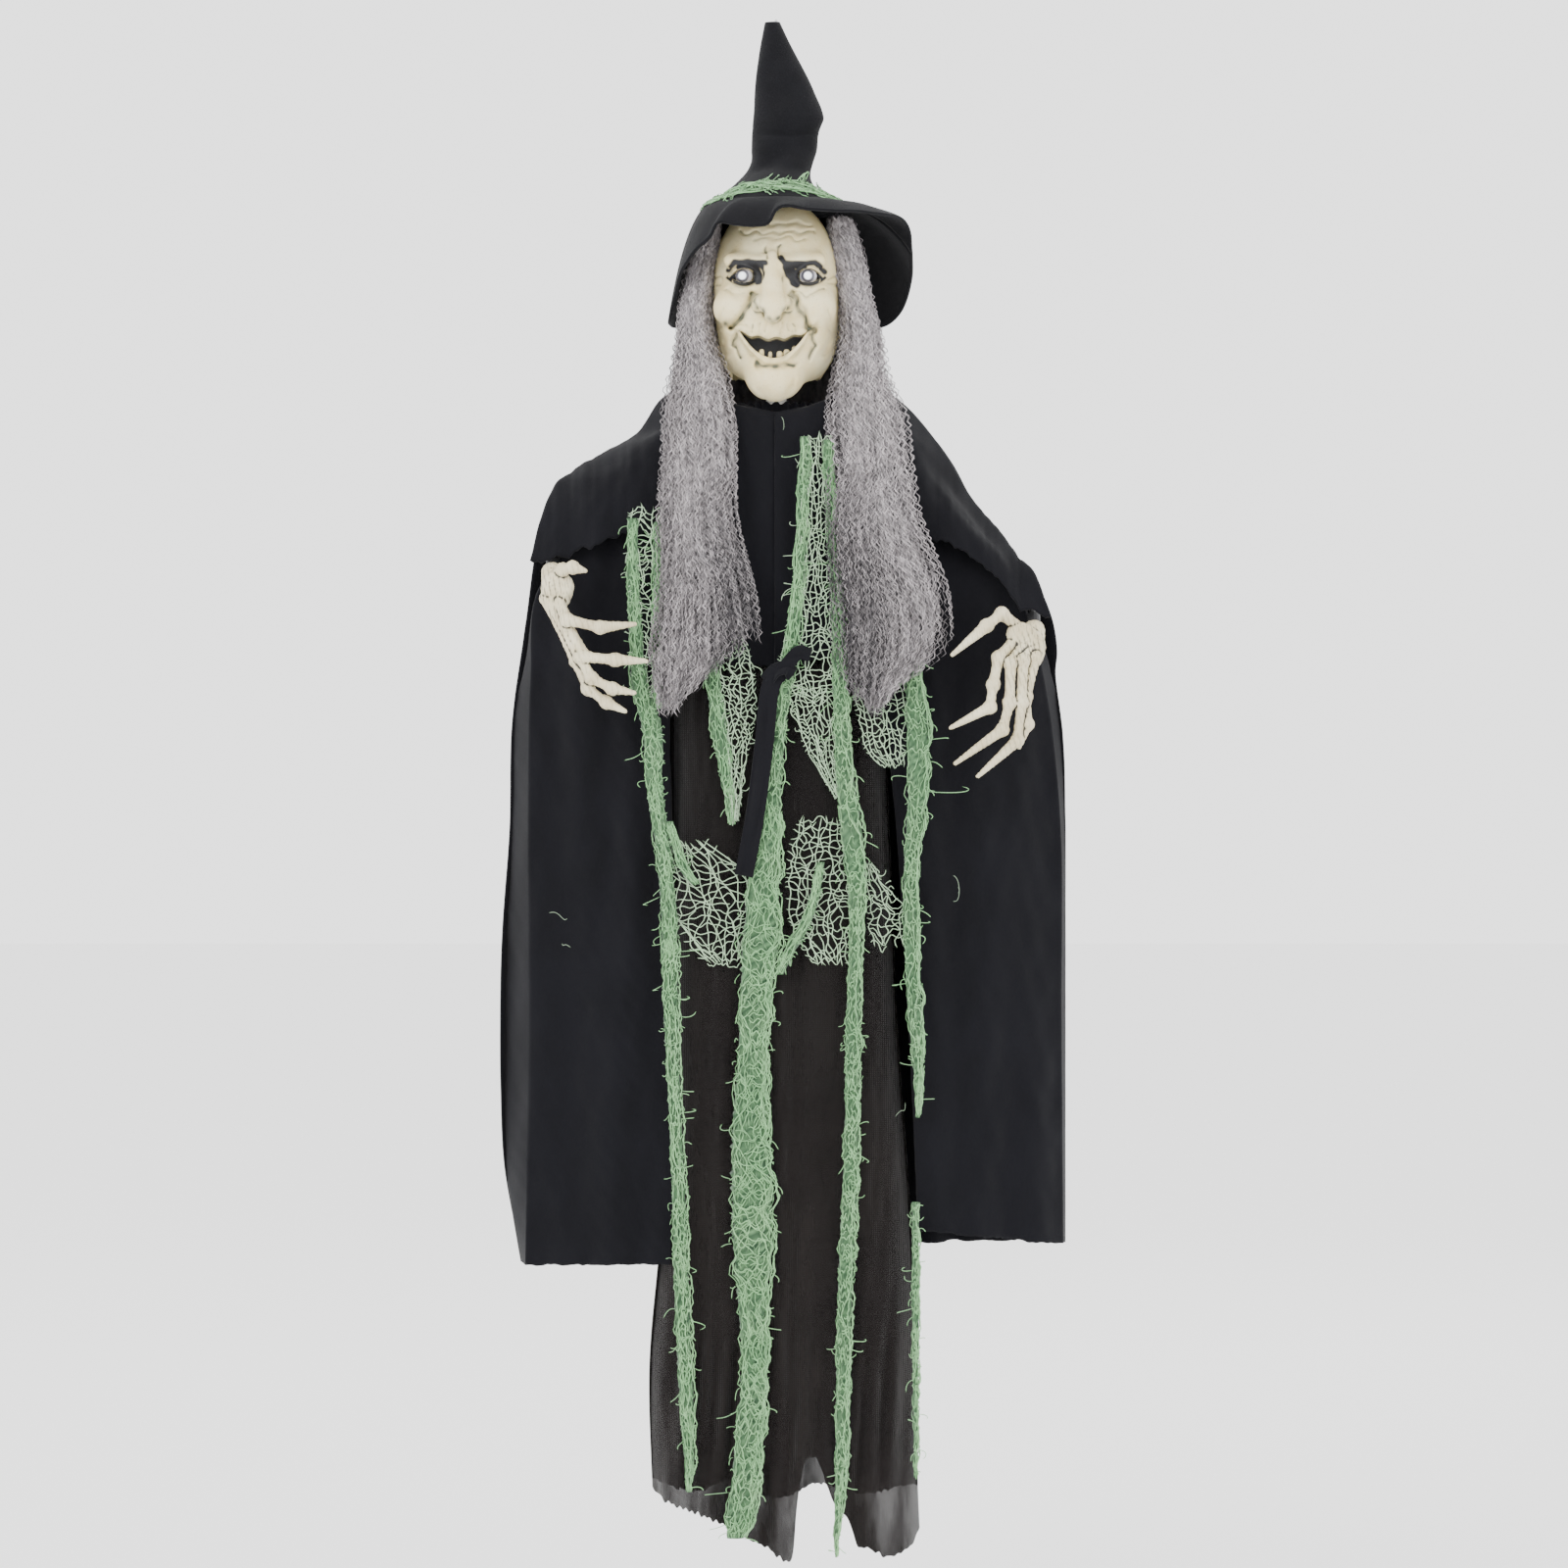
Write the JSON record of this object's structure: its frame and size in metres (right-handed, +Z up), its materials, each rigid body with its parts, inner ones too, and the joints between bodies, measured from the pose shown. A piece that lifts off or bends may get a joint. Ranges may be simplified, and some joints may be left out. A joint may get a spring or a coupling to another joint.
{
  "type": "hanging animated witch figure",
  "caption": "Hanging witch figure with a geared turning head, lit eyes, posable arms and hands, felt hat, long hair, black cape, sheer dress and torn green net.",
  "frame": {"origin": "where a hook carries the hanging eye at the tip of the hat", "axes": "+Z up along the hanger rod and neck, -Y the side the face looks to, +X to the right seen from the front"},
  "size_m": [0.332, 0.1352, 0.914],
  "materials": {
    "bone": "matt, dark wash in the folds",
    "eye": "clear glossy",
    "hair": "crimped synthetic hair",
    "black_cloth": "woven black",
    "sheer_cloth": "thin black gauze",
    "green_net": "loose cotton gauze",
    "felt": "black felt",
    "black_plastic": "fine texture",
    "white_plastic": "natural",
    "steel": "zinc plated",
    "board": "solder mask",
    "led": "clear",
    "battery": "plain wrap",
    "red": "moulded"
  },
  "bodies": {
    "figure": {"circuit_board": "board", "neck_bush": "white_plastic", "gear_plate": "white_plastic", "net_left": "green_net", "net_centre": "green_net", "net_right": "green_net", "housing_front": "black_plastic", "housing_back": "black_plastic", "speaker": "black_plastic", "tact_switch": "black_plastic", "battery_tray": "black_plastic", "housing_screw_1": "steel", "housing_screw_2": "steel", "housing_screw_3": "steel", "housing_screw_4": "steel", "hanger_rod": "steel", "hanger_nut": "steel", "motor": "steel", "slide_switch": "steel", "battery_contact_upper": "steel", "battery_contact_lower": "steel", "shoulder_pin_left": "steel", "shoulder_pin_right": "steel", "battery_1": "battery", "battery_2": "battery", "battery_3": "battery", "neck_collar": "black_cloth", "cape_left": "black_cloth", "cape_right": "black_cloth", "cape_back": "black_cloth", "capelet_front": "black_cloth", "sash": "black_cloth", "dress_front": "sheer_cloth", "dress_back": "sheer_cloth"},
    "head": {"face_mask": "bone", "head_back_shell": "bone", "eye_lens_left": "eye", "eye_led_left": "led", "eye_lens_right": "eye", "eye_led_right": "led", "eye_light_bracket": "board", "neck_tube": "white_plastic", "head_gear": "white_plastic", "hat_crown": "felt", "hat_brim": "felt", "hat_band": "green_net", "hair_left": "hair", "hair_right": "hair", "hair_back": "hair"},
    "reduction_gear": {"reduction_gear": "white_plastic"},
    "motor_pinion": {"motor_pinion": "steel"},
    "arm_left": {"arm_rod_left": "black_plastic"},
    "hand_left": {"hand_left": "bone"},
    "arm_right": {"arm_rod_right": "black_plastic"},
    "hand_right": {"hand_right": "bone"},
    "battery_door": {"battery_door": "black_plastic", "battery_door_screw": "steel"},
    "power_switch": {"switch_knob": "black_plastic"},
    "try_me_button": {"try_me_button": "red"}
  },
  "joints": [
    {"name": "head_turn", "type": "hinge", "parent": "figure", "child": "head", "pos_m": [0, 0, -0.26], "axis": [0, 0, 1], "range_deg": [-25, 25], "deforming": ["hair_left", "hair_right", "hair_back"]},
    {"name": "gear_spin", "type": "hinge", "parent": "figure", "child": "reduction_gear", "pos_m": [0.0184, 0, -0.28], "axis": [0, 0, 1], "range_deg": [-91, 91]},
    {"name": "pinion_spin", "type": "hinge", "parent": "figure", "child": "motor_pinion", "pos_m": [0.02971, -0.01131, -0.281], "axis": [0, 0, 1], "range_deg": [-271, 271]},
    {"name": "shoulder_left", "type": "hinge", "parent": "figure", "child": "arm_left", "pos_m": [-0.052, 0, -0.275], "axis": [0, 1, 0], "range_deg": [0, 20], "deforming": ["cape_left", "capelet_front"]},
    {"name": "shoulder_right", "type": "hinge", "parent": "figure", "child": "arm_right", "pos_m": [0.052, 0, -0.275], "axis": [0, -1, 0], "range_deg": [0, 20], "deforming": ["cape_right", "capelet_front"]},
    {"name": "wrist_left", "type": "hinge", "parent": "arm_left", "child": "hand_left", "pos_m": [-0.132, -0.036, -0.332], "axis": [0, -0.6, -0.8], "range_deg": [-10, 45]},
    {"name": "wrist_right", "type": "hinge", "parent": "arm_right", "child": "hand_right", "pos_m": [0.152, -0.036, -0.366], "axis": [0, 0.6, 0.8], "range_deg": [-10, 45]},
    {"name": "battery_door_hinge", "type": "hinge", "parent": "figure", "child": "battery_door", "pos_m": [0, 0.04495, -0.3675], "axis": [-1, 0, 0], "range_deg": [0, 100]},
    {"name": "power_slide", "type": "slide", "parent": "figure", "child": "power_switch", "axis": [1, 0, 0], "range_m": [0, 0.0052]},
    {"name": "try_me_press", "type": "slide", "parent": "figure", "child": "try_me_button", "axis": [0, -1, 0], "range_m": [0, 0.0015], "stiffness_N_per_m": 300, "springref_m": -0.001}
  ],
  "couplings": [
    {"joint": "gear_spin", "follows": "head_turn", "ratio": -3.6},
    {"joint": "pinion_spin", "follows": "head_turn", "ratio": 10.8}
  ]
}
